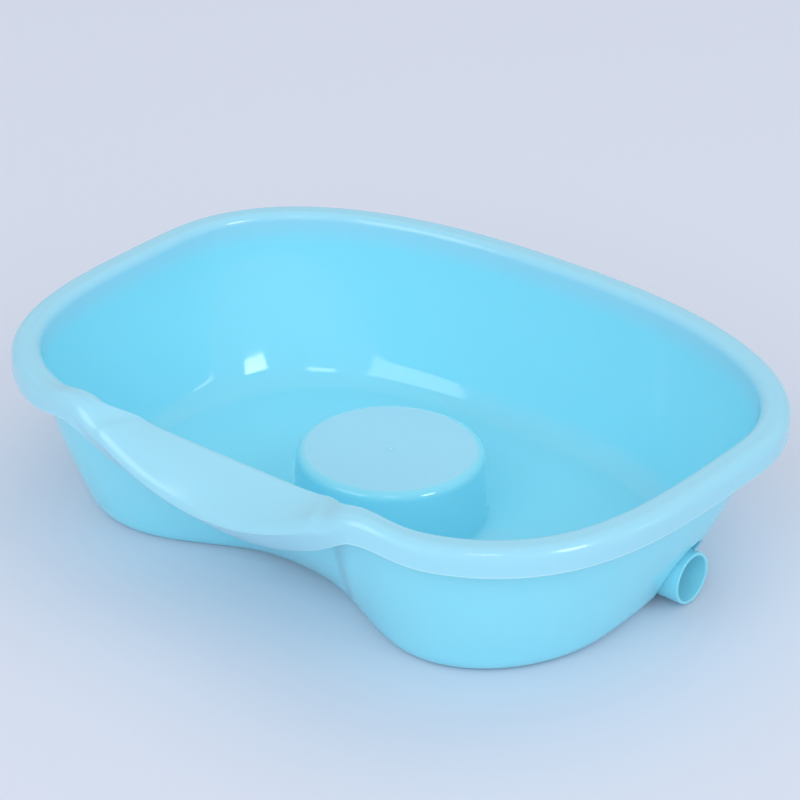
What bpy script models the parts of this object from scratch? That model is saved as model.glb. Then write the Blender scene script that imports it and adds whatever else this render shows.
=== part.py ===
"""Hair-washing basin for a person lying in bed, with its drain stopper. Metres, +Z up.

X runs along the neck side, with the drain at +X. Y runs from the neck side (-Y) to the back.
The origin is on the surface that the basin stands on, under the middle of its plan.
"""

import math

import bmesh
import bpy
import numpy as np

# Overall size
LENGTH = 0.560
DEPTH = 0.432
HEIGHT = 0.131
WALL = 0.0025
GAP = 0.0003

# Plan of the rim, measured to the middle of its rolled top
RIM_OUT = 0.009
RIM_IN = 0.013
RIM_HALF = LENGTH / 2 - RIM_OUT
RIM_REACH = DEPTH / 2 - RIM_OUT
RIM_SPLIT_Y = 0.045
RIM_FRONT_POWER = 3.5
RIM_BACK_POWER = 2.37
SKIRT = 0.01875

# Plan of the base, with the hollow that clears the shoulders
BASE_HALF = 0.225
BASE_SPLIT_Y = -0.038
BASE_FRONT = 0.158
BASE_BACK = 0.200
BASE_FRONT_POWER = 2.2
BASE_BACK_POWER = 2.8
NOTCH_DEPTH = 0.088
NOTCH_HALF = 0.115
NOTCH_POWER = 2.35
WALL_BULGE = 1.55
FOOT_RADIUS = 0.012

# Neck saddle: a ramp from a straight lip down to a dipped outer fold
SADDLE_HALF = 0.105
SADDLE_EDGE_HALF = 0.120
LIP_HALF = 0.098
LIP_END = 0.118
LIP_SHIFT = 0.013
LIP_DROP = 0.005
FOLD_DROP = 0.029
APRON_DROP = 0.048
APRON_SHIFT = 0.032
HORN_X = 0.130
HORN_WIDTH = 0.026
HORN_RISE = 0.0075

# Head rest raised from the floor
REST_Y = -0.007
REST_RADIUS = 0.0704
REST_TOP = 0.058
REST_EDGE = 0.007
REST_DRAFT = 0.0025
REST_FOOT = 0.006

# Drain: a spigot in a niche at the foot of the +X wall
PIPE_Y = 0.0333
PIPE_Z = 0.0217
PIPE_RADIUS = 0.0196
PIPE_WALL = 0.0024
PIPE_END_X = 0.2435
BORE_RADIUS = PIPE_RADIUS - PIPE_WALL
NICHE_BACK_X = 0.200
NICHE_Y = 0.0383
NICHE_Z = 0.0175
NICHE_RADIUS = 0.028

# Stopper in the inner mouth of the drain
PLUG_FLANGE_RADIUS = 0.0186
PLUG_FLANGE = 0.004
PLUG_LENGTH = 0.018
PLUG_TAPER = 0.0014
WIRE = 0.001
STAPLE_HALF = 0.003
STAPLE_REACH = 0.007
STAPLE_ROOT = 0.006
RING_RADIUS = 0.0085

STATIONS = 92
SADDLE_CROWDING = 1.6
ROUND_STEPS = 40

BLUE = (0.27, 0.66, 0.86, 1.0)
RUBBER = (0.80, 0.80, 0.78, 1.0)
STEEL = (0.62, 0.62, 0.62, 1.0)


def clear_scene():
    for obj in list(bpy.data.objects):
        bpy.data.objects.remove(obj, do_unlink=True)


def collection(name):
    made = bpy.data.collections.new(name)
    bpy.context.scene.collection.children.link(made)
    return made


def material(name, colour, roughness, metallic=0.0):
    made = bpy.data.materials.new(name)
    made.use_nodes = True
    shader = made.node_tree.nodes["Principled BSDF"]
    shader.inputs["Base Color"].default_value = colour
    shader.inputs["Roughness"].default_value = roughness
    shader.inputs["Metallic"].default_value = metallic
    return made


def add_mesh(name, points, faces, group):
    mesh = bpy.data.meshes.new(name)
    mesh.from_pydata([tuple(p) for p in points], [], faces)
    mesh.validate()
    obj = bpy.data.objects.new(name, mesh)
    group.objects.link(obj)
    return obj


def two_part_oval(angle, half, split_y, front, back, front_power, back_power):
    """A superellipse whose front and back halves have their own reach and squareness."""
    across = math.sin(angle)
    along = math.cos(angle)
    reach = back if along >= 0 else front
    power = 2 / (back_power if along >= 0 else front_power)
    x = half * math.copysign(abs(across) ** power, across)
    y = split_y + reach * math.copysign(abs(along) ** power, along)
    return x, y


def rim_outline():
    steps = np.linspace(-math.pi, math.pi, 1441)
    front = RIM_SPLIT_Y + RIM_REACH
    back = RIM_REACH - RIM_SPLIT_Y
    shape = (RIM_HALF, RIM_SPLIT_Y, front, back, RIM_FRONT_POWER, RIM_BACK_POWER)
    return np.array([two_part_oval(a, *shape) for a in steps])


def base_outline():
    steps = np.linspace(-math.pi, math.pi, 1441)
    shape = (BASE_HALF, BASE_SPLIT_Y, BASE_FRONT, BASE_BACK, BASE_FRONT_POWER, BASE_BACK_POWER)
    points = np.array([two_part_oval(a, *shape) for a in steps])
    hollow = np.exp(-((np.abs(points[:, 0]) / NOTCH_HALF) ** NOTCH_POWER))
    front = 1 / (1 + np.exp((points[:, 1] - BASE_SPLIT_Y) / 0.010))
    points[:, 1] += NOTCH_DEPTH * hollow * front
    return points


def bearings(points):
    """Direction and distance of each point from the middle of the head rest."""
    dx = points[:, 0]
    dy = points[:, 1] - REST_Y
    return np.arctan2(dx, dy), np.hypot(dx, dy)


def station_angles():
    """Directions of the loft's stations, closer together along the neck saddle."""
    points = rim_outline()
    steps = np.hypot(*np.diff(points, axis=0).T)
    middle = (points[1:] + points[:-1]) / 2
    near_saddle = (middle[:, 1] < 0) * np.exp(-((middle[:, 0] / 0.150) ** 6))
    weight = np.concatenate([[0], np.cumsum(steps * (1 + SADDLE_CROWDING * near_saddle))])
    angle = np.unwrap(bearings(points)[0])
    wanted = (np.arange(STATIONS) + 0.5) / STATIONS * weight[-1]
    return np.interp(wanted, weight, angle)


def radius_at(angle, outline):
    direction, distance = bearings(outline)
    order = np.argsort(direction)
    return np.interp(angle, direction[order], distance[order], period=2 * math.pi)


def cosine_bell(x, half):
    return math.cos(math.pi / 2 * min(abs(x) / half, 1))


def smooth_step(value, low, high):
    t = min(max((value - low) / (high - low), 0), 1)
    return t * t * (3 - 2 * t)


def arc(centre, radius, start, end, count):
    """Points of an arc in degrees, end points included."""
    turns = [math.radians(start + (end - start) * i / (count - 1)) for i in range(count)]
    return [(centre[0] + radius * math.cos(t), centre[1] + radius * math.sin(t)) for t in turns]


def rim_profile(x, at_front):
    """Rolled rim from the wall to the skirt's lower edge, as (outward offset, height) points."""
    lip = (1 - smooth_step(abs(x), LIP_HALF, LIP_END)) if at_front else 0.0
    dip = FOLD_DROP * cosine_bell(x, SADDLE_HALF) if at_front else 0.0
    edge = cosine_bell(x, SADDLE_EDGE_HALF) if at_front else 0.0
    horn = HORN_RISE * math.exp(-(((abs(x) - HORN_X) / HORN_WIDTH) ** 2)) if at_front else 0.0
    inner_radius = 0.007 - 0.003 * lip
    inner = (-RIM_IN + inner_radius - LIP_SHIFT * lip, HEIGHT + horn - LIP_DROP * lip - inner_radius)
    fold = max(dip, LIP_DROP * lip)
    lean = math.degrees(math.atan2(fold - LIP_DROP * lip, -inner[0]))
    outer = (0.0, HEIGHT + horn - fold - RIM_OUT)
    start = 90 - lean
    points = arc(inner, inner_radius, 180, start, 4)
    points += arc(outer, RIM_OUT, start, -8 * edge, 5)
    low = (RIM_OUT - APRON_SHIFT * edge, HEIGHT + horn - SKIRT - APRON_DROP * edge)
    last = points[-1]
    points.append(((last[0] * 1.15 + low[0] * 0.85) / 2, (last[1] + low[1]) / 2))
    points.append(low)
    return points


def rest_profile():
    """Head rest and floor up to the foot of its side, as (radius, height) points."""
    side = REST_RADIUS + REST_DRAFT
    top = arc((REST_RADIUS - REST_EDGE, REST_TOP - REST_EDGE), REST_EDGE, 90, 0, 4)
    foot = arc((side + REST_FOOT, WALL + REST_FOOT), REST_FOOT, 180, 270, 3)
    return [(REST_RADIUS * 0.55, REST_TOP)] + top + foot


def wall_radius(height, base, top, top_height, outward=0.0):
    """Distance of the wall's inner face at a height, swelling outward above the foot."""
    share = np.clip((height - WALL) / (top_height - WALL), 0, 1)
    swell = 1 - (1 - share) ** WALL_BULGE
    return base + (top - base) * swell + outward


def loft_rings(angles):
    """The basin's inner and upper face, as rings from the middle of the head rest outward."""
    rim = radius_at(angles, rim_outline())
    base = radius_at(angles, base_outline()) - WALL
    profiles = []
    for angle, radius in zip(angles, rim):
        x = radius * math.sin(angle)
        profiles.append(rim_profile(x, math.cos(angle) < 0))
    profiles = np.array(profiles)
    slant = rim_slant(angles)
    top = rim + profiles[:, 0, 0] * slant
    top_height = profiles[:, 0, 1]
    rings = []
    for radius, height in rest_profile():
        rings.append((np.full(STATIONS, radius), np.full(STATIONS, height)))
    foot_height = WALL + FOOT_RADIUS
    foot = wall_radius(foot_height, base, top, top_height)
    start = base - 0.8 * FOOT_RADIUS
    for t in (0.0, 0.35, 0.7):
        corner = wall_radius(WALL, base, top, top_height)
        radius = (1 - t) ** 2 * start + 2 * t * (1 - t) * corner + t**2 * foot
        height = WALL + t**2 * FOOT_RADIUS
        rings.append((radius, np.full(STATIONS, height)))
    for share in (0.0, 0.22, 0.47, 0.74):
        height = foot_height + share * (top_height - foot_height)
        rings.append((wall_radius(height, base, top, top_height), height))
    for index in range(profiles.shape[1]):
        rings.append((rim + profiles[:, index, 0] * slant, profiles[:, index, 1]))
    return rings, base, top, top_height


def rim_slant(angles):
    """How much further along the station's direction a step square to the rim reaches."""
    outline = rim_outline()
    change = 0.01
    ahead = radius_at(angles + change, outline)
    behind = radius_at(angles - change, outline)
    middle = radius_at(angles, outline)
    return np.sqrt(1 + ((ahead - behind) / (2 * change * middle)) ** 2)


def ring_points(angles, radius, height):
    x = np.sin(angles) * radius
    y = np.cos(angles) * radius + REST_Y
    return np.stack([x, y, np.broadcast_to(height, x.shape)], axis=1)


def stitch(rows, stations, first=0):
    """Quads between successive rings of equal length."""
    faces = []
    for row in range(rows - 1):
        for column in range(stations):
            following = (column + 1) % stations
            low = first + row * stations
            high = low + stations
            faces.append((low + column, low + following, high + following, high + column))
    return faces


def basin_sheet(group):
    angles = station_angles()
    rings, base, top, top_height = loft_rings(angles)
    points = [(0.0, REST_Y, REST_TOP)]
    for radius, height in rings:
        points.extend(ring_points(angles, radius, height))
    faces = [(0, 1 + (i + 1) % STATIONS, 1 + i) for i in range(STATIONS)]
    faces += [tuple(reversed(face)) for face in stitch(len(rings), STATIONS, 1)]
    sheet = add_mesh("basin", points, faces, group)
    fix = bmesh.new()
    fix.from_mesh(sheet.data)
    bmesh.ops.recalc_face_normals(fix, faces=fix.faces)
    fix.faces.ensure_lookup_table()
    if fix.faces[0].normal.z < 0:
        bmesh.ops.reverse_faces(fix, faces=fix.faces)
    fix.to_mesh(sheet.data)
    fix.free()
    shell = sheet.modifiers.new("wall thickness", "SOLIDIFY")
    shell.thickness = WALL
    shell.offset = -1
    shell.use_even_offset = True
    return sheet, angles, base, top, top_height


def wall_core(angles, base, top, top_height, group):
    """Everything inside the middle of the wall's thickness, up to above the niche."""
    heights = (WALL / 2, 0.010, 0.022, 0.036, 0.052, 0.068)
    points = []
    for height in heights:
        radius = wall_radius(height, base, top, top_height, WALL / 2)
        points.extend(ring_points(angles, radius, height))
    faces = [tuple(reversed(face)) for face in stitch(len(heights), STATIONS)]
    last = (len(heights) - 1) * STATIONS
    faces.append(tuple(range(STATIONS)))
    faces.append(tuple(last + i for i in reversed(range(STATIONS))))
    core = add_mesh("wall core", points, faces, group)
    outward(core)
    return core


def outward(obj):
    fix = bmesh.new()
    fix.from_mesh(obj.data)
    bmesh.ops.recalc_face_normals(fix, faces=fix.faces)
    fix.to_mesh(obj.data)
    fix.free()


def arch_block(name, radius, start_x, end_x, bottom, group):
    """A bar along X whose end is an arch standing on straight sides."""
    outline = [(NICHE_Y + radius, bottom)]
    outline += [(NICHE_Y + a, b) for a, b in arc((0, NICHE_Z), radius, 0, 180, 17)]
    outline += [(NICHE_Y - radius, bottom)]
    mesh = bmesh.new()
    ring = [mesh.verts.new((start_x, y, z)) for y, z in outline]
    face = mesh.faces.new(ring)
    grown = bmesh.ops.extrude_face_region(mesh, geom=[face])
    moved = [item for item in grown["geom"] if isinstance(item, bmesh.types.BMVert)]
    bmesh.ops.translate(mesh, verts=moved, vec=(end_x - start_x, 0, 0))
    bmesh.ops.recalc_face_normals(mesh, faces=mesh.faces)
    block = bpy.data.meshes.new(name)
    mesh.to_mesh(block)
    mesh.free()
    obj = bpy.data.objects.new(name, block)
    group.objects.link(obj)
    return obj


def x_cylinder(name, radius, start_x, end_x, y, z, group, steps=ROUND_STEPS):
    mesh = bmesh.new()
    bmesh.ops.create_cone(
        mesh,
        cap_ends=True,
        segments=steps,
        radius1=radius,
        radius2=radius,
        depth=end_x - start_x,
    )
    made = bpy.data.meshes.new(name)
    mesh.to_mesh(made)
    mesh.free()
    obj = bpy.data.objects.new(name, made)
    group.objects.link(obj)
    obj.rotation_euler = (0, math.pi / 2, 0)
    obj.location = ((start_x + end_x) / 2, y, z)
    return obj


def boolean(target, cutter, operation):
    cutter.hide_render = True
    cutter.display_type = "WIRE"
    step = target.modifiers.new(cutter.name, "BOOLEAN")
    step.operation = operation
    step.object = cutter
    step.solver = "EXACT"


def make_basin(parts, cutters):
    basin, angles, base, top, top_height = basin_sheet(parts)
    core = wall_core(angles, base, top, top_height, cutters)
    lining = arch_block(
        "niche lining", NICHE_RADIUS + WALL, NICHE_BACK_X - WALL, PIPE_END_X + 0.03, WALL / 2, cutters
    )
    boolean(lining, core, "INTERSECT")
    boolean(basin, lining, "UNION")
    hollow = arch_block("niche hollow", NICHE_RADIUS, NICHE_BACK_X, LENGTH / 2 + 0.02, -0.005, cutters)
    boolean(basin, hollow, "DIFFERENCE")
    spigot = x_cylinder(
        "spigot", PIPE_RADIUS, NICHE_BACK_X - WALL / 2, PIPE_END_X, PIPE_Y, PIPE_Z, cutters
    )
    boolean(basin, spigot, "UNION")
    bore = x_cylinder(
        "bore", BORE_RADIUS, NICHE_BACK_X - 0.010, PIPE_END_X + 0.010, PIPE_Y, PIPE_Z, cutters
    )
    boolean(basin, bore, "DIFFERENCE")
    basin.data.materials.append(material("blue plastic", BLUE, 0.22))
    basin.data.shade_smooth()
    return basin


def plug_profile():
    """Half section of the stopper: (distance from the axis, distance into the drain)."""
    radius = BORE_RADIUS - GAP
    return [
        (0.0, -PLUG_FLANGE),
        (PLUG_FLANGE_RADIUS - 0.0012, -PLUG_FLANGE),
        (PLUG_FLANGE_RADIUS, -PLUG_FLANGE + 0.0012),
        (PLUG_FLANGE_RADIUS, 0.0),
        (radius, 0.0),
        (radius - PLUG_TAPER, PLUG_LENGTH - 0.002),
        (radius - PLUG_TAPER - 0.002, PLUG_LENGTH),
        (0.0, PLUG_LENGTH),
    ]


def staple_legs():
    return PIPE_Z - STAPLE_HALF, PIPE_Z + STAPLE_HALF


def make_stopper(parts, cutters):
    """A tapered rubber plug, turned about the drain's axis, with holes for the staple's legs."""
    seat_x = NICHE_BACK_X - WALL - GAP
    profile = plug_profile()
    mesh = bpy.data.meshes.new("drain_stopper")
    edges = [(i, i + 1) for i in range(len(profile) - 1)]
    mesh.from_pydata([(r, 0.0, -d) for r, d in profile], edges, [])
    plug = bpy.data.objects.new("drain_stopper", mesh)
    parts.objects.link(plug)
    plug.rotation_euler = (0, -math.pi / 2, 0)
    plug.location = (seat_x, PIPE_Y, PIPE_Z)
    turn = plug.modifiers.new("turned", "SCREW")
    turn.axis = "Z"
    turn.steps = ROUND_STEPS
    turn.render_steps = ROUND_STEPS
    turn.use_merge_vertices = True
    turn.merge_threshold = 0.00001
    for index, z in enumerate(staple_legs()):
        face_x = seat_x - PLUG_FLANGE
        hole = x_cylinder(
            f"staple hole {index}", WIRE + GAP, face_x - 0.005, face_x + STAPLE_ROOT + GAP,
            PIPE_Y, z, cutters, steps=12,
        )
        boolean(plug, hole, "DIFFERENCE")
    plug.data.materials.append(material("plug rubber", RUBBER, 0.6))
    return plug


def wire_mesh(name, points, cyclic, radius, parts):
    """A round wire along a polyline, turned into a mesh with welded caps."""
    curve = bpy.data.curves.new(name, "CURVE")
    curve.dimensions = "3D"
    curve.bevel_depth = radius
    curve.bevel_resolution = 2
    curve.use_fill_caps = True
    spline = curve.splines.new("POLY")
    spline.points.add(len(points) - 1)
    for spot, point in zip(spline.points, points):
        spot.co = (*point, 1)
    spline.use_cyclic_u = cyclic
    guide = bpy.data.objects.new(name + " route", curve)
    parts.objects.link(guide)
    graph = bpy.context.evaluated_depsgraph_get()
    mesh = bpy.data.meshes.new_from_object(guide.evaluated_get(graph))
    weld = bmesh.new()
    weld.from_mesh(mesh)
    bmesh.ops.remove_doubles(weld, verts=weld.verts, dist=0.000001)
    bmesh.ops.recalc_face_normals(weld, faces=weld.faces)
    weld.to_mesh(mesh)
    weld.free()
    bpy.data.objects.remove(guide, do_unlink=True)
    mesh.name = name
    obj = bpy.data.objects.new(name, mesh)
    parts.objects.link(obj)
    return obj


def make_staple(parts):
    """A U of wire whose legs sit in the stopper."""
    face_x = NICHE_BACK_X - WALL - GAP - PLUG_FLANGE
    root = STAPLE_ROOT
    low, high = staple_legs()
    crown_x = face_x - STAPLE_REACH + STAPLE_HALF
    route = [(face_x + root, PIPE_Y, high)]
    route += [(x, PIPE_Y, z) for x, z in arc((crown_x, PIPE_Z), STAPLE_HALF, 90, 270, 9)]
    route += [(face_x + root, PIPE_Y, low)]
    staple = wire_mesh("stopper_staple", route, False, WIRE, parts)
    staple.data.materials.append(material("staple steel", STEEL, 0.3, 1.0))
    return staple


def ring_pivot():
    face_x = NICHE_BACK_X - WALL - GAP - PLUG_FLANGE
    return face_x - 0.0033, PIPE_Y, PIPE_Z - 0.0003


def make_pull_ring(parts):
    """The pull ring hangs from the staple; its origin is on the line that it swings about."""
    count = 32
    turns = [2 * math.pi * i / count for i in range(count)]
    route = [(0.0, RING_RADIUS * math.sin(t), RING_RADIUS * (math.cos(t) - 1)) for t in turns]
    ring = wire_mesh("pull_ring", route, True, WIRE, parts)
    ring.location = ring_pivot()
    ring.data.materials.append(material("ring steel", STEEL, 0.3, 1.0))
    return ring


def main():
    clear_scene()
    parts = collection("hair washing basin")
    cutters = collection("cutters")
    make_basin(parts, cutters)
    make_stopper(parts, cutters)
    make_staple(parts)
    make_pull_ring(parts)


main()
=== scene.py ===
"""Looks of the hair-washing basin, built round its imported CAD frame. Metres, +Z up."""

import math

import bmesh
import bpy
import numpy as np
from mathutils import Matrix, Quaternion, Vector
from mathutils.kdtree import KDTree


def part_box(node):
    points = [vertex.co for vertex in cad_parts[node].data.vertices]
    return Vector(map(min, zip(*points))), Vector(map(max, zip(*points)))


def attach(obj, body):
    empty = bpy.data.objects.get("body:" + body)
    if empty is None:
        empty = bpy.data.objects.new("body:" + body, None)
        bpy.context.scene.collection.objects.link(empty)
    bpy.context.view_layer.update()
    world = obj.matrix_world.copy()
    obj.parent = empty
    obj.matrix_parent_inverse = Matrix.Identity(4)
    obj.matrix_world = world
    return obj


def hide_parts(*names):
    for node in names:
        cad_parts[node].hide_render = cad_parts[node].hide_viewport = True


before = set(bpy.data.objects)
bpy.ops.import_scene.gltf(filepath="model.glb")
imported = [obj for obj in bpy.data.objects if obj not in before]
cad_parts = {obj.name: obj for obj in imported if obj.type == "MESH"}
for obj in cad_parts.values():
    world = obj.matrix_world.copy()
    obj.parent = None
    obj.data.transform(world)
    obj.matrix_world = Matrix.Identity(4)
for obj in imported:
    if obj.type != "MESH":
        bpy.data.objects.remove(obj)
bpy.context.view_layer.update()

# Overall size, from the frame
BASIN_LOW, BASIN_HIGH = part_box("basin")
STOPPER_LOW, STOPPER_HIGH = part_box("drain_stopper")
STAPLE_LOW, STAPLE_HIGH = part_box("stopper_staple")
RING_LOW, RING_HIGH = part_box("pull_ring")
LENGTH = BASIN_HIGH.x - BASIN_LOW.x
DEPTH = BASIN_HIGH.y - BASIN_LOW.y
HEIGHT = 0.131  # of the rim, without the horns
WALL = 0.0025

# Plan of the rim, measured to the middle of its rolled top
RIM_OUT = 0.009
RIM_IN = 0.013
RIM_HALF = LENGTH / 2 - RIM_OUT
RIM_REACH = DEPTH / 2 - RIM_OUT
RIM_SPLIT_Y = 0.045
RIM_FRONT_POWER = 3.5
RIM_BACK_POWER = 2.37
RIM_INNER_RADIUS = 0.007
SKIRT = 0.01875
SKIRT_LEAN = 8
SKIRT_SHARES = (0.2, 0.4, 0.6, 0.8, 0.94, 1.0)

# Plan of the base, with the hollow that clears the shoulders
BASE_HALF = 0.225
BASE_SPLIT_Y = -0.038
BASE_FRONT = 0.158
BASE_BACK = 0.200
BASE_FRONT_POWER = 2.2
BASE_BACK_POWER = 2.8
NOTCH_DEPTH = 0.088
NOTCH_HALF = 0.115
NOTCH_POWER = 2.35
WALL_BULGE = 1.55
FOOT_RADIUS = 0.012
FOOT_RADIUS_BACK = 0.019

# Neck saddle: a ramp from a straight lip down to a dipped outer fold
SADDLE_HALF = 0.105
SADDLE_EDGE_HALF = 0.120
LIP_HALF = 0.098
LIP_END = 0.118
LIP_SHIFT = 0.013
LIP_DROP = 0.005
LIP_TIGHTENING = 0.003
FOLD_DROP = 0.029
APRON_DROP = 0.048
APRON_SHIFT = 0.032
HORN_X = 0.130
HORN_WIDTH = 0.026
HORN_RISE = 0.0075

# Head rest raised from the floor
REST_Y = -0.007
REST_RADIUS = 0.0704
REST_TOP = 0.058
REST_EDGE = 0.007
REST_DRAFT = 0.0025
REST_FOOT = 0.006

# Drain: a spigot in a niche at the foot of the +X wall
PIPE_Y = (STOPPER_LOW.y + STOPPER_HIGH.y) / 2
PIPE_Z = (STOPPER_LOW.z + STOPPER_HIGH.z) / 2
PIPE_RADIUS = 0.0196
PIPE_WALL = 0.0024
PIPE_END_X = 0.2435
BORE_RADIUS = PIPE_RADIUS - PIPE_WALL
PIPE_LIP = 0.0009
NICHE_BACK_X = 0.200
NICHE_Y = 0.0383
NICHE_Z = 0.0175
NICHE_RADIUS = 0.028

# Stopper in the inner mouth of the drain, with its wire staple and pull ring
PLUG_FLANGE_RADIUS = (STOPPER_HIGH.y - STOPPER_LOW.y) / 2
PLUG_FLANGE = 0.004
PLUG_LENGTH = STOPPER_HIGH.x - STOPPER_LOW.x - PLUG_FLANGE
PLUG_RADIUS = BORE_RADIUS - 0.0003
PLUG_TAPER = 0.0014
PLUG_SEAT_X = STOPPER_LOW.x + PLUG_FLANGE
PLUG_DISH = 0.0006
PLUG_HOLLOW = 0.007
DISH_INSET = 0.0042
LAND_INSET = 0.0034
LAND_DROP = 0.0001
FLANGE_ROUND = 0.0014
FLANGE_HEEL = 0.0008
SEAL_START = 0.0012
SEAL_SHORTER = 0.0032
TIP_ROUND = 0.0018
MOUTH_INSET = 0.0048
MOUTH_ROUND = 0.001
HOLLOW_INSET = 0.0078
HOLLOW_ROUND = 0.002
SEAL_RIBS = 3
SEAL_RIB = 0.0003
WIRE = (STAPLE_HIGH.y - STAPLE_LOW.y) / 2
STAPLE_HALF = (STAPLE_HIGH.z - STAPLE_LOW.z) / 2 - WIRE
RING_RADIUS = (RING_HIGH.z - RING_LOW.z) / 2 - WIRE
RING_WELD = 0.15
WIRE_SIDES = 20

# Moulding gate in the middle of the head rest
GATE_RADIUS = 0.0016
GATE_RISE = 0.0003

# Fineness of the basin's surface
STATIONS = 320
SADDLE_CROWDING = 1.6
OUTLINE_STEPS = 7201
WALL_STEPS = 26
ROUND_STEPS = 96
ROLL_IN_STEPS = 10
ROLL_TOP_STEPS = 6
ROLL_OUT_STEPS = 14
RIM_ROWS = ROLL_IN_STEPS + ROLL_TOP_STEPS + ROLL_OUT_STEPS + len(SKIRT_SHARES)

# Softened edges of the drain niche
SOFT_REACH = 0.0016
SOFT_SIZE = 0.0015
SOFT_SPLITS = 6
SOFT_PASSES = 10
SOFT_ANGLE = 30
SLIVER = 0.00002

# The rim_share attribute, which places the rim's painted sheen and the edge's painted highlight: 0 on the
# walls, 1 on the rim, EDGE_SHARE on the skirt's edge
RIM_FADE = 5
EDGE_SHARE = 2.0

PANEL_DISTANCE = 4.0
FILL_DISTANCE = 9.0


def add_mesh(name, points, faces):
    mesh = bpy.data.meshes.new(name)
    mesh.from_pydata([tuple(p) for p in points], [], faces)
    mesh.validate()
    obj = bpy.data.objects.new(name, mesh)
    bpy.context.scene.collection.objects.link(obj)
    return obj


# ---------------------------------------------------------------- outlines


def two_part_oval(angle, half, split_y, front, back, front_power, back_power):
    """A superellipse whose front and back halves have their own reach and squareness."""
    across = np.sin(angle)
    along = np.cos(angle)
    reach = np.where(along >= 0, back, front)
    power = 2 / np.where(along >= 0, back_power, front_power)
    x = half * np.copysign(np.abs(across) ** power, across)
    y = split_y + reach * np.copysign(np.abs(along) ** power, along)
    return np.stack([x, y], axis=1)


def rim_outline():
    steps = np.linspace(-math.pi, math.pi, OUTLINE_STEPS)
    front = RIM_SPLIT_Y + RIM_REACH
    back = RIM_REACH - RIM_SPLIT_Y
    return two_part_oval(steps, RIM_HALF, RIM_SPLIT_Y, front, back, RIM_FRONT_POWER, RIM_BACK_POWER)


def base_outline():
    steps = np.linspace(-math.pi, math.pi, OUTLINE_STEPS)
    shape = (BASE_HALF, BASE_SPLIT_Y, BASE_FRONT, BASE_BACK, BASE_FRONT_POWER, BASE_BACK_POWER)
    points = two_part_oval(steps, *shape)
    hollow = np.exp(-((np.abs(points[:, 0]) / NOTCH_HALF) ** NOTCH_POWER))
    front = 1 / (1 + np.exp((points[:, 1] - BASE_SPLIT_Y) / 0.010))
    points[:, 1] += NOTCH_DEPTH * hollow * front
    return points


def bearings(points):
    """Direction and distance of each point from the middle of the head rest."""
    dx = points[:, 0]
    dy = points[:, 1] - REST_Y
    return np.arctan2(dx, dy), np.hypot(dx, dy)


def station_angles():
    """Directions of the loft's stations, closer together along the neck saddle."""
    points = rim_outline()
    steps = np.hypot(*np.diff(points, axis=0).T)
    middle = (points[1:] + points[:-1]) / 2
    near_saddle = (middle[:, 1] < 0) * np.exp(-((middle[:, 0] / 0.150) ** 6))
    weight = np.concatenate([[0], np.cumsum(steps * (1 + SADDLE_CROWDING * near_saddle))])
    angle = np.unwrap(bearings(points)[0])
    wanted = (np.arange(STATIONS) + 0.5) / STATIONS * weight[-1]
    return np.interp(wanted, weight, angle)


def radius_at(angle, outline):
    direction, distance = bearings(outline)
    order = np.argsort(direction)
    return np.interp(angle, direction[order], distance[order], period=2 * math.pi)


def rim_slant(angles):
    """How much further along the station's direction a step square to the rim reaches."""
    outline = rim_outline()
    change = 0.01
    ahead = radius_at(angles + change, outline)
    behind = radius_at(angles - change, outline)
    middle = radius_at(angles, outline)
    return np.sqrt(1 + ((ahead - behind) / (2 * change * middle)) ** 2)


# ---------------------------------------------------------------- profiles


def cosine_bell(x, half):
    return math.cos(math.pi / 2 * min(abs(x) / half, 1))


def smooth_step(value, low, high):
    t = min(max((value - low) / (high - low), 0), 1)
    return t * t * (3 - 2 * t)


def arc(centre, radius, start, end, count):
    """Points of an arc in degrees, end points included."""
    turns = [math.radians(start + (end - start) * i / (count - 1)) for i in range(count)]
    return [(centre[0] + radius * math.cos(t), centre[1] + radius * math.sin(t)) for t in turns]


def between(first, last, count):
    """Points strictly between two others, evenly spread."""
    shares = [(i + 1) / (count + 1) for i in range(count)]
    return [tuple(a + (b - a) * s for a, b in zip(first, last)) for s in shares]


def rim_profile(x, at_front):
    """Rolled rim from the wall to the skirt's lower edge, as (outward offset, height) points."""
    lip = (1 - smooth_step(abs(x), LIP_HALF, LIP_END)) if at_front else 0.0
    dip = FOLD_DROP * cosine_bell(x, SADDLE_HALF) if at_front else 0.0
    edge = cosine_bell(x, SADDLE_EDGE_HALF) if at_front else 0.0
    horn = HORN_RISE * math.exp(-(((abs(x) - HORN_X) / HORN_WIDTH) ** 2)) if at_front else 0.0
    inner_radius = RIM_INNER_RADIUS - LIP_TIGHTENING * lip
    inner = (-RIM_IN + inner_radius - LIP_SHIFT * lip, HEIGHT + horn - LIP_DROP * lip - inner_radius)
    fold = max(dip, LIP_DROP * lip)
    lean = math.degrees(math.atan2(fold - LIP_DROP * lip, -inner[0]))
    outer = (0.0, HEIGHT + horn - fold - RIM_OUT)
    start = 90 - lean
    roll_in = arc(inner, inner_radius, 180, start, ROLL_IN_STEPS)
    roll_out = arc(outer, RIM_OUT, start, -SKIRT_LEAN * edge, ROLL_OUT_STEPS)
    last = roll_out[-1]
    low = (RIM_OUT - APRON_SHIFT * edge, HEIGHT + horn - SKIRT - APRON_DROP * edge)
    middle = ((last[0] * 1.15 + low[0] * 0.85) / 2, (last[1] + low[1]) / 2)
    skirt = []
    for share in SKIRT_SHARES:
        blend = ((1 - share) ** 2, 2 * share * (1 - share), share**2)
        skirt.append(tuple(blend[0] * a + blend[1] * b + blend[2] * c for a, b, c in zip(last, middle, low)))
    return roll_in + between(roll_in[-1], roll_out[0], ROLL_TOP_STEPS) + roll_out + skirt


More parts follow.
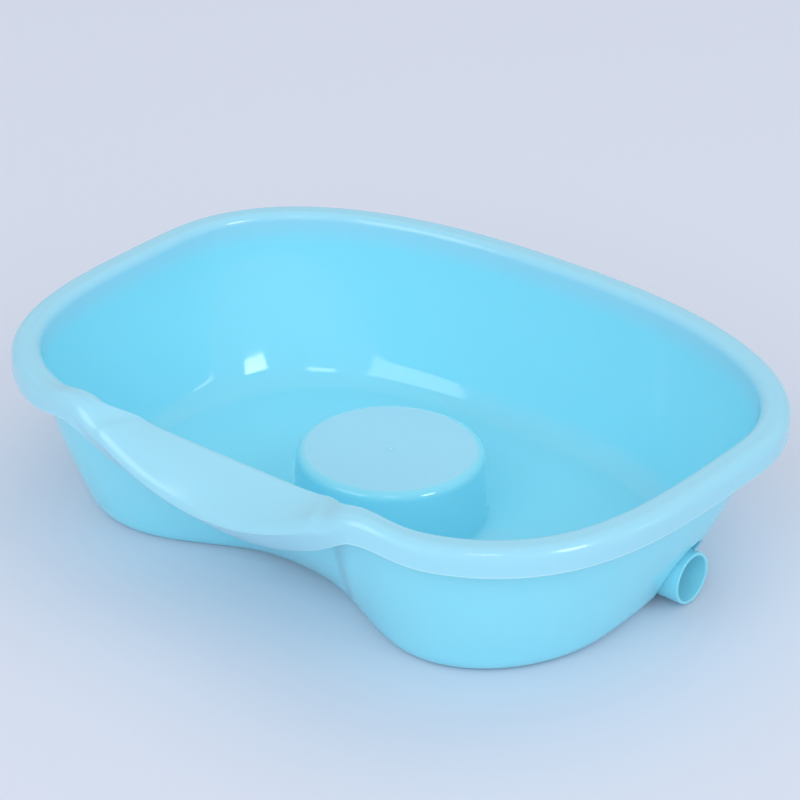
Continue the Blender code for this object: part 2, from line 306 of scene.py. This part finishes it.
def rest_profile():
    """Head rest and floor up to the foot of its side, as (radius, height) points."""
    side = REST_RADIUS + REST_DRAFT
    gate = [
        (0.4 * GATE_RADIUS, REST_TOP + GATE_RISE),
        (0.9 * GATE_RADIUS, REST_TOP + 0.8 * GATE_RISE),
        (1.2 * GATE_RADIUS, REST_TOP - GATE_RISE),
        (1.8 * GATE_RADIUS, REST_TOP - GATE_RISE),
        (2.3 * GATE_RADIUS, REST_TOP),
    ]
    flat = gate + [(REST_RADIUS * share, REST_TOP) for share in (0.1, 0.2, 0.4, 0.6, 0.8)]
    top = arc((REST_RADIUS - REST_EDGE, REST_TOP - REST_EDGE), REST_EDGE, 90, 0, 10)
    foot = arc((side + REST_FOOT, WALL + REST_FOOT), REST_FOOT, 180, 270, 9)
    return flat + top + between(top[-1], foot[0], 8) + foot


def wall_radius(height, base, top, top_height):
    """Distance of the wall's inner face at a height, swelling outward above the foot."""
    share = np.clip((height - WALL) / (top_height - WALL), 0, 1)
    swell = 1 - (1 - share) ** WALL_BULGE
    return base + (top - base) * swell


def foot_rounding(angles):
    """Radius of the curve from floor to wall: tight along the front, wide round the back."""
    share = np.clip((np.cos(angles) + 0.35) / 0.9, 0, 1)
    share = share * share * (3 - 2 * share)
    return FOOT_RADIUS + (FOOT_RADIUS_BACK - FOOT_RADIUS) * share


def loft_rings(angles):
    """The basin's inner and upper face, as rings from the middle of the head rest outward."""
    rim = radius_at(angles, rim_outline())
    base = radius_at(angles, base_outline()) - WALL
    profiles = []
    for angle, radius in zip(angles, rim):
        x = radius * math.sin(angle)
        profiles.append(rim_profile(x, math.cos(angle) < 0))
    profiles = np.array(profiles)
    slant = rim_slant(angles)
    top = rim + profiles[:, 0, 0] * slant
    top_height = profiles[:, 0, 1]
    rings = []
    for radius, height in rest_profile():
        rings.append((np.full(STATIONS, radius), np.full(STATIONS, height)))
    rounding = foot_rounding(angles)
    foot_height = WALL + rounding
    foot = wall_radius(foot_height, base, top, top_height)
    corner = wall_radius(WALL, base, top, top_height)
    start = base - 0.8 * rounding
    last_flat = rings[-1][0]
    for share in np.linspace(0, 1, 9)[1:-1]:
        rings.append((last_flat + (start - last_flat) * share, np.full(STATIONS, WALL)))
    first_foot = len(rings)
    for t in np.linspace(0, 1, 16)[:-1]:
        radius = (1 - t) ** 2 * start + 2 * t * (1 - t) * corner + t**2 * foot
        rings.append((radius, WALL + t**2 * rounding))
    for share in np.linspace(0, 1, WALL_STEPS)[:-1]:
        height = foot_height + share * (top_height - foot_height)
        rings.append((wall_radius(height, base, top, top_height), height))
    for index in range(profiles.shape[1]):
        rings.append((rim + profiles[:, index, 0] * slant, profiles[:, index, 1]))
    return rings, first_foot


# ---------------------------------------------------------------- basin shell


def ring_points(angles, radius, height):
    x = np.sin(angles) * radius
    y = np.cos(angles) * radius + REST_Y
    return np.stack([x, y, np.broadcast_to(height, x.shape)], axis=1)


def grid_normals(grid):
    """Unit normals, on the water side, of a closed grid of rings by stations."""
    along = np.roll(grid, -1, axis=1) - np.roll(grid, 1, axis=1)
    across = np.gradient(grid, axis=0)
    normals = np.cross(across, along)
    normals /= np.linalg.norm(normals, axis=2, keepdims=True)
    if normals[0, 0, 2] < 0:
        normals = -normals
    return normals


def basin_shell():
    """The whole moulding before the drain: the water side, a rounded skirt edge, the hidden side."""
    angles = station_angles()
    rings, first_foot = loft_rings(angles)
    inside = np.array([ring_points(angles, radius, height) for radius, height in rings])
    normals = grid_normals(inside)
    outside = inside - WALL * normals
    edge_middle = (inside[-1] + outside[-1]) / 2
    edge_way = inside[-1] - inside[-2]
    edge_way /= np.linalg.norm(edge_way, axis=1, keepdims=True)
    edge = []
    for turn in np.linspace(0, math.pi, 7)[1:-1]:
        edge.append(edge_middle + WALL / 2 * (math.cos(turn) * normals[-1] + math.sin(turn) * edge_way))
    grid = np.concatenate([inside, np.array(edge), outside[::-1]])
    rows = len(grid)
    middle = (0.0, REST_Y, REST_TOP + GATE_RISE)
    hidden_middle = (0.0, REST_Y, REST_TOP + GATE_RISE - WALL)
    points = [middle, *grid.reshape(-1, 3), hidden_middle]
    faces = []
    last = 1 + (rows - 1) * STATIONS
    for column in range(STATIONS):
        following = (column + 1) % STATIONS
        faces.append((0, 1 + column, 1 + following))
        faces.append((len(points) - 1, last + following, last + column))
    for row in range(rows - 1):
        low = 1 + row * STATIONS
        high = low + STATIONS
        for column in range(STATIONS):
            following = (column + 1) % STATIONS
            faces.append((low + column, high + column, high + following, low + following))
    shell = add_mesh("moulded_basin", points, faces)
    outward(shell)
    rim_rows = len(rings) - RIM_ROWS
    share = np.clip((np.arange(len(rings)) - rim_rows + RIM_FADE) / RIM_FADE, 0, 1)
    share[-1] = EDGE_SHARE
    share = np.concatenate([share, np.full(len(edge), EDGE_SHARE), share[::-1]])
    stored = shell.data.attributes.new("rim_share", "FLOAT", "POINT")
    stored.data.foreach_set("value", np.concatenate([[0], np.repeat(share, STATIONS), [0]]))
    middle_rows = (inside - WALL / 2 * normals)[first_foot:]
    high_enough = middle_rows[:, :, 2].min(axis=1) > NICHE_Z + NICHE_RADIUS + 2 * WALL
    return shell, middle_rows[: np.argmax(high_enough) + 1]


def outward(obj):
    fix = bmesh.new()
    fix.from_mesh(obj.data)
    bmesh.ops.recalc_face_normals(fix, faces=fix.faces)
    if fix.calc_volume(signed=True) < 0:
        bmesh.ops.reverse_faces(fix, faces=fix.faces)
    fix.to_mesh(obj.data)
    fix.free()


def smooth_above(obj, degrees):
    """Shades an object smooth, but for edges sharper than this."""
    obj.data.shade_smooth()
    obj.data.set_sharp_from_angle(angle=math.radians(degrees))


# ---------------------------------------------------------------- drain


def wall_core(middle_rows):
    """Everything inside the middle of the wall's thickness, up to above the niche."""
    rows = len(middle_rows)
    points = list(middle_rows.reshape(-1, 3))
    points.append(middle_rows[0].mean(axis=0))
    points.append(middle_rows[-1].mean(axis=0))
    faces = []
    last = (rows - 1) * STATIONS
    for column in range(STATIONS):
        following = (column + 1) % STATIONS
        faces.append((len(points) - 2, following, column))
        faces.append((len(points) - 1, last + column, last + following))
        for low in range(0, last, STATIONS):
            high = low + STATIONS
            faces.append((low + column, low + following, high + following, high + column))
    core = add_mesh("wall core", points, faces)
    outward(core)
    return core


def arch_block(name, radius, start_x, end_x, bottom):
    """A bar along X whose end is an arch standing on straight sides."""
    outline = [(NICHE_Y + radius, bottom)]
    outline += [(NICHE_Y + a, b) for a, b in arc((0, NICHE_Z), radius, 0, 180, ROUND_STEPS // 2 + 1)]
    outline += [(NICHE_Y - radius, bottom)]
    mesh = bmesh.new()
    ring = [mesh.verts.new((start_x, y, z)) for y, z in outline]
    face = mesh.faces.new(ring)
    grown = bmesh.ops.extrude_face_region(mesh, geom=[face])
    moved = [item for item in grown["geom"] if isinstance(item, bmesh.types.BMVert)]
    bmesh.ops.translate(mesh, verts=moved, vec=(end_x - start_x, 0, 0))
    block = bpy.data.meshes.new(name)
    mesh.to_mesh(block)
    mesh.free()
    obj = bpy.data.objects.new(name, block)
    bpy.context.scene.collection.objects.link(obj)
    outward(obj)
    return obj


def turned(name, profile, steps, origin, way=1):
    """A solid turned about a line along X through origin; profile is (radius, distance along way)."""
    points = []
    rings = []
    for radius, distance in profile:
        x = origin[0] + way * distance
        if radius == 0:
            rings.append([len(points)])
            points.append((x, origin[1], origin[2]))
            continue
        rings.append(list(range(len(points), len(points) + steps)))
        for step in range(steps):
            turn = 2 * math.pi * step / steps
            points.append((x, origin[1] + radius * math.sin(turn), origin[2] + radius * math.cos(turn)))
    faces = []
    for near, far in zip(rings, rings[1:]):
        for step in range(steps):
            after = (step + 1) % steps
            corners = [near[step % len(near)], near[after % len(near)]]
            corners += [far[after % len(far)], far[step % len(far)]]
            faces.append(tuple(dict.fromkeys(corners)))
    obj = add_mesh(name, points, faces)
    outward(obj)
    return obj


def combine(target, tool, operation):
    """Applies a Boolean and removes the tool."""
    step = target.modifiers.new("step", "BOOLEAN")
    step.operation = operation
    step.object = tool
    step.solver = "MANIFOLD"
    graph = bpy.context.evaluated_depsgraph_get()
    made = bpy.data.meshes.new_from_object(target.evaluated_get(graph))
    target.modifiers.remove(step)
    old = target.data
    target.data = made
    bpy.data.meshes.remove(old)
    bpy.data.objects.remove(tool, do_unlink=True)


def spigot_profile():
    """Outside of the spigot with a rounded lip, from its root in the niche to its open end."""
    root = NICHE_BACK_X - WALL / 2
    reach = PIPE_END_X - root
    lip = arc((PIPE_RADIUS - PIPE_LIP, reach - PIPE_LIP), PIPE_LIP, 0, 90, 6)
    return [(0, 0), (PIPE_RADIUS, 0), *lip, (0, reach)]


def bore_profile():
    """The drain's bore, flared where it meets the lip of the spigot."""
    reach = PIPE_END_X - NICHE_BACK_X + 0.010
    flare = arc((BORE_RADIUS + PIPE_LIP, reach - PIPE_LIP), PIPE_LIP, 180, 90, 6)
    past = reach + 0.010
    return [(0, 0), (BORE_RADIUS, 0), *flare, (BORE_RADIUS + PIPE_LIP, past), (0, past)]


def cut_drain(shell, middle_rows):
    core = wall_core(middle_rows)
    insert = arch_block("lining", NICHE_RADIUS + WALL, NICHE_BACK_X - WALL, PIPE_END_X + 0.03, WALL / 2)
    combine(insert, core, "INTERSECT")
    combine(shell, insert, "UNION")
    hollow = arch_block("hollow", NICHE_RADIUS, NICHE_BACK_X, LENGTH / 2 + 0.02, -0.005)
    combine(shell, hollow, "DIFFERENCE")
    root = (NICHE_BACK_X - WALL / 2, PIPE_Y, PIPE_Z)
    combine(shell, turned("spigot", spigot_profile(), ROUND_STEPS, root), "UNION")
    mouth = (NICHE_BACK_X - 0.010, PIPE_Y, PIPE_Z)
    combine(shell, turned("bore", bore_profile(), ROUND_STEPS, mouth), "DIFFERENCE")


def near_drain(point):
    """Whether a point is round the niche, but not on the spigot."""
    beside = math.hypot(point.y - NICHE_Y, point.z - NICHE_Z)
    from_pipe = math.hypot(point.y - PIPE_Y, point.z - PIPE_Z)
    on_wall = point.x > NICHE_BACK_X - 2 * WALL and beside < NICHE_RADIUS + 3 * WALL
    return on_wall and from_pipe > PIPE_RADIUS + SOFT_REACH


def weld_slivers(mesh):
    """Takes out the needle-thin triangles that the Booleans leave."""
    bmesh.ops.remove_doubles(mesh, verts=mesh.verts, dist=SLIVER)
    bmesh.ops.dissolve_degenerate(mesh, dist=SLIVER, edges=mesh.edges)
    bmesh.ops.triangulate(mesh, faces=[face for face in mesh.faces if len(face.verts) > 4])


def soften_niche(shell):
    """Rounds the niche's edges: fine triangles near each edge, then a few smoothing passes."""
    mesh = bmesh.new()
    mesh.from_mesh(shell.data)
    sharp = math.radians(SOFT_ANGLE)
    weld_slivers(mesh)
    edges = [e for e in mesh.edges if near_drain(e.verts[0].co) and near_drain(e.verts[1].co)]
    corners = [e for e in edges if len(e.link_faces) == 2 and e.calc_face_angle() > sharp]
    tree = KDTree(sum(math.ceil(e.calc_length() / SOFT_SIZE) + 1 for e in corners))
    for edge in corners:
        parts = math.ceil(edge.calc_length() / SOFT_SIZE)
        for step in range(parts + 1):
            tree.insert(edge.verts[0].co.lerp(edge.verts[1].co, step / parts), 0)
    tree.balance()
    for _ in range(SOFT_SPLITS):
        close = [v for v in mesh.verts if near_drain(v.co) and tree.find(v.co)[2] < 2 * SOFT_REACH]
        faces = dict.fromkeys(face for vert in close for face in vert.link_faces)
        bmesh.ops.triangulate(mesh, faces=list(faces))
        faces = dict.fromkeys(face for vert in close for face in vert.link_faces)
        long = dict.fromkeys(e for face in faces for e in face.edges if e.calc_length() > SOFT_SIZE)
        long = [e for e in long if near_drain(e.verts[0].co.lerp(e.verts[1].co, 0.5))]
        bmesh.ops.subdivide_edges(mesh, edges=long, cuts=1, use_grid_fill=False)
    bmesh.ops.triangulate(mesh, faces=[face for face in mesh.faces if len(face.verts) > 4])
    weld_slivers(mesh)
    moving = [v for v in mesh.verts if near_drain(v.co) and tree.find(v.co)[2] < SOFT_REACH]
    for _ in range(SOFT_PASSES):
        bmesh.ops.smooth_vert(
            mesh, verts=moving, factor=0.5, use_axis_x=True, use_axis_y=True, use_axis_z=True
        )
    mesh.to_mesh(shell.data)
    mesh.free()


def make_basin():
    shell, middle_rows = basin_shell()
    cut_drain(shell, middle_rows)
    soften_niche(shell)
    smooth_above(shell, 35)
    return shell


# ---------------------------------------------------------------- stopper and ring


def plug_profile():
    """Half section of the stopper: (distance from its axis, distance into the drain)."""
    face = -PLUG_FLANGE
    rim = PLUG_FLANGE_RADIUS
    boss = STAPLE_HALF + 2.6 * WIRE
    points = [(0.0, face), (boss, face), (boss + PLUG_DISH, face + PLUG_DISH)]
    points += [(rim - DISH_INSET, face + PLUG_DISH), (rim - LAND_INSET, face + LAND_DROP)]
    points += arc((rim - FLANGE_ROUND, face + FLANGE_ROUND), FLANGE_ROUND, -90, 0, 8)
    points += arc((rim - FLANGE_HEEL, -FLANGE_HEEL), FLANGE_HEEL, 0, 90, 5)
    points += [(PLUG_RADIUS, 0.0), (PLUG_RADIUS - 0.0005, 0.0007)]
    steps = 12 * SEAL_RIBS
    for step in range(steps + 1):
        share = step / steps
        ripple = SEAL_RIB * (math.cos(2 * math.pi * SEAL_RIBS * share) - 1) / 2
        radius = PLUG_RADIUS - PLUG_TAPER * share + ripple
        points.append((radius, SEAL_START + share * (PLUG_LENGTH - SEAL_SHORTER)))
    end = points[-1][0]
    points += arc((end - TIP_ROUND, PLUG_LENGTH - TIP_ROUND), TIP_ROUND, 0, 90, 6)
    points += arc((end - MOUTH_INSET, PLUG_LENGTH - MOUTH_ROUND), MOUTH_ROUND, 90, 180, 4)
    bottom = PLUG_LENGTH - PLUG_HOLLOW
    points += arc((end - HOLLOW_INSET, bottom + HOLLOW_ROUND), HOLLOW_ROUND, 0, -90, 6)
    points.append((0.0, bottom))
    return points


def wire(name, route, flat_way, closed, swelling=None):
    """A round wire along a flat route; flat_way is square to the route's plane."""
    count = len(route)
    points = []
    for index, spot in enumerate(route):
        before = route[(index - 1) % count] if closed else route[max(index - 1, 0)]
        after = route[(index + 1) % count] if closed else route[min(index + 1, count - 1)]
        along = (Vector(after) - Vector(before)).normalized()
        side = along.cross(flat_way)
        radius = WIRE * (swelling(index / count) if swelling else 1.0)
        for step in range(WIRE_SIDES):
            turn = 2 * math.pi * step / WIRE_SIDES
            points.append(Vector(spot) + radius * (math.cos(turn) * flat_way + math.sin(turn) * side))
    faces = []
    for index in range(count if closed else count - 1):
        near = index * WIRE_SIDES
        far = (index + 1) % count * WIRE_SIDES
        for step in range(WIRE_SIDES):
            after = (step + 1) % WIRE_SIDES
            faces.append((near + step, near + after, far + after, far + step))
    if not closed:
        faces.append(tuple(range(WIRE_SIDES)))
        faces.append(tuple((count - 1) * WIRE_SIDES + step for step in reversed(range(WIRE_SIDES))))
    obj = add_mesh(name, points, faces)
    outward(obj)
    return obj


def make_stopper():
    plug = turned("rubber_plug", plug_profile(), ROUND_STEPS, (PLUG_SEAT_X, PIPE_Y, PIPE_Z))
    for z in (PIPE_Z - STAPLE_HALF, PIPE_Z + STAPLE_HALF):
        depth = STAPLE_HIGH.x - STOPPER_LOW.x + 0.0001
        hole = [(0, -0.004), (WIRE + 0.0001, -0.004), (WIRE + 0.0001, depth), (0, depth)]
        combine(plug, turned("staple hole", hole, WIRE_SIDES, (STOPPER_LOW.x, PIPE_Y, z)), "DIFFERENCE")
    smooth_above(plug, 40)
    return plug


def make_staple():
    crown_x = STAPLE_LOW.x + WIRE + STAPLE_HALF
    root_x = STAPLE_HIGH.x
    bend = arc((crown_x, PIPE_Z), STAPLE_HALF, 90, 270, 25)
    high = between((root_x, PIPE_Z + STAPLE_HALF), bend[0], 5)
    low = between(bend[-1], (root_x, PIPE_Z - STAPLE_HALF), 5)
    line = [(root_x, PIPE_Z + STAPLE_HALF), *high, *bend, *low, (root_x, PIPE_Z - STAPLE_HALF)]
    staple = wire("wire_staple", [(x, PIPE_Y, z) for x, z in line], Vector((0, 1, 0)), False)
    smooth_above(staple, 50)
    return staple


def make_ring():
    """A wire ring whose welded joint is a slight swelling at its foot."""
    middle = (RING_LOW + RING_HIGH) / 2
    steps = 128
    turns = [2 * math.pi * step / steps for step in range(steps)]
    route = [
        (middle.x, middle.y + RING_RADIUS * math.sin(turn), middle.z + RING_RADIUS * math.cos(turn))
        for turn in turns
    ]

    def weld(share):
        return 1 + RING_WELD * math.exp(-(((share - 0.5) / 0.012) ** 2))

    ring = wire("wire_ring", route, Vector((1, 0, 0)), True, weld)
    smooth_above(ring, 60)
    return ring


# ---------------------------------------------------------------- materials


class Nodes:
    """Short calls for adding and wiring the nodes of one material."""

    def __init__(self, name):
        self.material = bpy.data.materials.new(name)
        self.material.use_nodes = True
        self.tree = self.material.node_tree
        self.shader = self.tree.nodes["Principled BSDF"]

    def add(self, kind, **settings):
        node = self.tree.nodes.new(kind)
        for key, value in settings.items():
            setattr(node, key, value)
        return node

    def feed(self, socket, source):
        if hasattr(source, "is_output"):
            self.tree.links.new(source, socket)
        else:
            socket.default_value = source

    def math(self, operation, first, second=0.0, clamp=False):
        node = self.add("ShaderNodeMath", operation=operation, use_clamp=clamp)
        self.feed(node.inputs[0], first)
        self.feed(node.inputs[1], second)
        return node.outputs[0]

    def place(self):
        return self.add("ShaderNodeTexCoord").outputs["Object"]

    def noise(self, scale, detail=2.0, roughness=0.5, at=None):
        node = self.add("ShaderNodeTexNoise")
        self.feed(node.inputs["Vector"], at or self.place())
        node.inputs["Scale"].default_value = scale
        node.inputs["Detail"].default_value = detail
        node.inputs["Roughness"].default_value = roughness
        return node.outputs["Fac"]

    def spread(self, source, low, high, to_low=0.0, to_high=1.0):
        node = self.add("ShaderNodeMapRange", interpolation_type="SMOOTHSTEP")
        self.feed(node.inputs["Value"], source)
        node.inputs["From Min"].default_value = low
        node.inputs["From Max"].default_value = high
        node.inputs["To Min"].default_value = to_low
        node.inputs["To Max"].default_value = to_high
        return node.outputs["Result"]

    def mix(self, share, first, second):
        node = self.add("ShaderNodeMix", data_type="RGBA")
        first_colour, second_colour = node.inputs[6:8]
        self.feed(node.inputs["Factor"], share)
        self.feed(first_colour, first)
        self.feed(second_colour, second)
        return node.outputs[2]

    def bump(self, height, distance, strength=1.0, under=None):
        node = self.add("ShaderNodeBump")
        self.feed(node.inputs["Height"], height)
        node.inputs["Distance"].default_value = distance
        node.inputs["Strength"].default_value = strength
        if under is not None:
            self.feed(node.inputs["Normal"], under)
        return node.outputs["Normal"]


def basin_plastic():
    """Glossy sky-blue polypropylene, a little translucent, with a satin top on the head rest; painted sheen
    makes the rim and the head rest's top paler, and a painted highlight runs along the skirt's edge.
    """
    n = Nodes("sky_blue_polypropylene")
    shader = n.shader
    shader.inputs["IOR"].default_value = 1.49
    shader.inputs["Subsurface Weight"].default_value = 0.25
    shader.inputs["Subsurface Radius"].default_value = (0.35, 0.9, 1.0)
    shader.inputs["Subsurface Scale"].default_value = 0.004
    place = n.place()
    axes = n.add("ShaderNodeSeparateXYZ")
    n.feed(axes.inputs[0], place)
    across = n.math("SUBTRACT", axes.outputs["Y"], REST_Y)
    flat = n.math("ADD", n.math("POWER", axes.outputs["X"], 2.0), n.math("POWER", across, 2.0))
    distance = n.math("SQRT", flat)
    near = n.spread(distance, REST_RADIUS - REST_EDGE - 0.001, REST_RADIUS - REST_EDGE + 0.002, 1.0, 0.0)
    high = n.spread(axes.outputs["Z"], REST_TOP - 0.001, REST_TOP - 0.0005)
    satin = n.math("MULTIPLY", near, high)
    rim = n.add("ShaderNodeAttribute", attribute_name="rim_share").outputs["Fac"]
    body = (0.30, 0.81, 0.965, 1.0)
    # painted sheen: the rim is painted paler, standing in for the sky reflected off its up-facing roll
    rim_painted_sheen = (0.385, 0.765, 0.91, 1.0)
    # painted sheen: the head rest's satin top is painted paler, standing in for light off the up-facing top
    top_painted_sheen = (0.39, 0.79, 0.97, 1.0)
    # painted highlight: a pale line along the skirt's lower edge, standing in for light coming through the
    # edge
    lit_edge = (0.50, 0.85, 0.95, 1.0)
    inner = n.mix(n.spread(rim, 0.0, 1.0), body, rim_painted_sheen)
    at_edge = n.spread(rim, 1.0, EDGE_SHARE)
    n.feed(shader.inputs["Base Color"], n.mix(satin, n.mix(at_edge, inner, lit_edge), top_painted_sheen))
    cloud = n.noise(14.0, 3.0)
    gloss = n.math("ADD", n.math("MULTIPLY", cloud, 0.04), 0.05)
    rough = n.math("ADD", gloss, n.math("MULTIPLY", satin, 0.34))
    rough = n.math("ADD", rough, n.spread(rim, 0.0, 1.0, 0.0, 0.10))
    n.feed(shader.inputs["Roughness"], rough)
    swell = n.bump(n.noise(22.0, 1.0), 0.0006, 0.25)
    peel = n.bump(n.noise(650.0, 2.0), 0.00003, 0.25, swell)
    grain = n.noise(2600.0, 2.0)
    tooth = n.math("MULTIPLY", grain, satin)
    n.feed(shader.inputs["Normal"], n.bump(tooth, 0.00004, 0.6, peel))
    return n.material


def plug_rubber():
    """Pale grey rubber: matt and faintly mottled."""
    n = Nodes("plug_rubber")
    mottle = n.noise(180.0, 4.0, 0.6)
    n.feed(n.shader.inputs["Base Color"], n.mix(mottle, (0.66, 0.66, 0.64, 1.0), (0.76, 0.76, 0.74, 1.0)))
    n.feed(n.shader.inputs["Roughness"], n.spread(mottle, 0.3, 0.7, 0.5, 0.66))
    n.shader.inputs["Subsurface Weight"].default_value = 0.1
    n.shader.inputs["Subsurface Scale"].default_value = 0.002
    n.feed(n.shader.inputs["Normal"], n.bump(n.noise(3200.0, 3.0), 0.00003, 0.5))
    return n.material


def drawn_steel(name, streaks):
    """Stainless wire with fine drawing marks; streaks are their sizes along each axis."""
    n = Nodes(name)
    n.shader.inputs["Metallic"].default_value = 1.0
    stretch = n.add("ShaderNodeMapping")
    n.feed(stretch.inputs["Vector"], n.place())
    stretch.inputs["Scale"].default_value = streaks
    marks = n.noise(1.0, 3.0, 0.5, stretch.outputs["Vector"])
    tint = n.mix(n.noise(60.0, 2.0), (0.56, 0.57, 0.58, 1.0), (0.66, 0.66, 0.65, 1.0))
    n.feed(n.shader.inputs["Base Color"], tint)
    n.feed(n.shader.inputs["Roughness"], n.spread(marks, 0.3, 0.7, 0.16, 0.32))
    n.feed(n.shader.inputs["Normal"], n.bump(marks, 0.00002, 0.4))
    return n.material


# ---------------------------------------------------------------- stage


def make_stage():
    bpy.ops.mesh.primitive_circle_add(vertices=128, radius=9.0, fill_type="NGON")
    floor = bpy.context.object
    floor.name = "studio_floor"
    n = Nodes("studio_floor")
    n.shader.inputs["Base Color"].default_value = (0.80, 0.82, 0.90, 1.0)
    n.shader.inputs["Roughness"].default_value = 0.55
    floor.data.materials.append(n.material)
    world = bpy.data.worlds.new("studio")
    bpy.context.scene.world = world
    world.use_nodes = True
    sky = world.node_tree.nodes["Background"]
    sky.inputs["Color"].default_value = (0.88, 0.92, 1.0, 1.0)
    sky.inputs["Strength"].default_value = 0.66


def soft_box(name, azimuth, elevation, wide, high, radiance, distance, spin=0.0):
    """A soft box by its direction from the basin and its apparent size, all in degrees."""
    turn = math.radians(azimuth)
    rise = math.radians(elevation)
    way = Vector((math.sin(turn) * math.cos(rise), -math.cos(turn) * math.cos(rise), math.sin(rise)))
    lamp = bpy.data.lights.new(name, "AREA")
    lamp.shape = "RECTANGLE"
    lamp.color = (0.93, 0.97, 1.0)
    lamp.size = 2 * distance * math.tan(math.radians(wide / 2))
    lamp.size_y = 2 * distance * math.tan(math.radians(high / 2))
    lamp.energy = radiance * math.pi * lamp.size * lamp.size_y
    holder = bpy.data.objects.new(name, lamp)
    bpy.context.scene.collection.objects.link(holder)
    holder.location = Vector((0, 0, 0.06)) + way * distance
    holder.rotation_mode = "QUATERNION"
    holder.rotation_quaternion = Quaternion(way, math.radians(spin)) @ way.to_track_quat("Z", "Y")
    return holder


def make_lights():
    """Panels that show only as reflections, and broader ones that only shade."""
    panels = [
        soft_box("front_window", -13, 34, 30, 36, 2.6, PANEL_DISTANCE, 14),
        soft_box("upper_window", 38, 56, 14, 9, 5.0, PANEL_DISTANCE),
        soft_box("side_strobe", 89, 37, 14, 17, 10.0, PANEL_DISTANCE, -12),
        soft_box("side_window", 119, 19, 7, 9, 3.0, PANEL_DISTANCE),
    ]
    for panel in panels:
        panel.visible_diffuse = False
    fills = [
        soft_box("right_key", 78, 35, 36, 30, 1.25, FILL_DISTANCE),
        soft_box("camera_fill", 16, 34, 44, 32, 1.95, FILL_DISTANCE),
        soft_box("low_fill", 64, 12, 30, 16, 0.9, FILL_DISTANCE),
        soft_box("back_fill", 180, 60, 40, 40, 0.6, FILL_DISTANCE),
    ]
    for fill in fills:
        fill.visible_glossy = False


def make_camera():
    azimuth = math.radians(38.459)
    elevation = math.radians(28.426)
    distance = 2.2903
    target = Vector((-0.03906, 0.0525, 0.0598))
    back = Vector((
        math.sin(azimuth) * math.cos(elevation),
        -math.cos(azimuth) * math.cos(elevation),
        math.sin(elevation),
    ))
    lens = bpy.data.cameras.new("camera")
    lens.sensor_width = 36.0
    lens.lens = 135.636
    camera = bpy.data.objects.new("camera", lens)
    bpy.context.scene.collection.objects.link(camera)
    camera.location = target + back * distance
    aim = (-back).to_track_quat("-Z", "Y")
    camera.rotation_mode = "QUATERNION"
    roll = math.radians(0.719)
    camera.rotation_quaternion = Quaternion(back, roll) @ aim
    bpy.context.scene.camera = camera


def finish_piece(piece, material, body, node):
    piece.data.materials.clear()
    piece.data.materials.append(material)
    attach(piece, body)
    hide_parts(node)


finish_piece(make_basin(), basin_plastic(), "basin", "basin")
finish_piece(make_stopper(), plug_rubber(), "stopper", "drain_stopper")
staple_wire = drawn_steel("staple_wire", (300.0, 4000.0, 4000.0))
finish_piece(make_staple(), staple_wire, "stopper", "stopper_staple")
ring_wire = drawn_steel("ring_wire", (4000.0, 700.0, 700.0))
finish_piece(make_ring(), ring_wire, "ring", "pull_ring")
make_stage()
make_camera()
make_lights()
bpy.context.scene.view_settings.view_transform = "Standard"
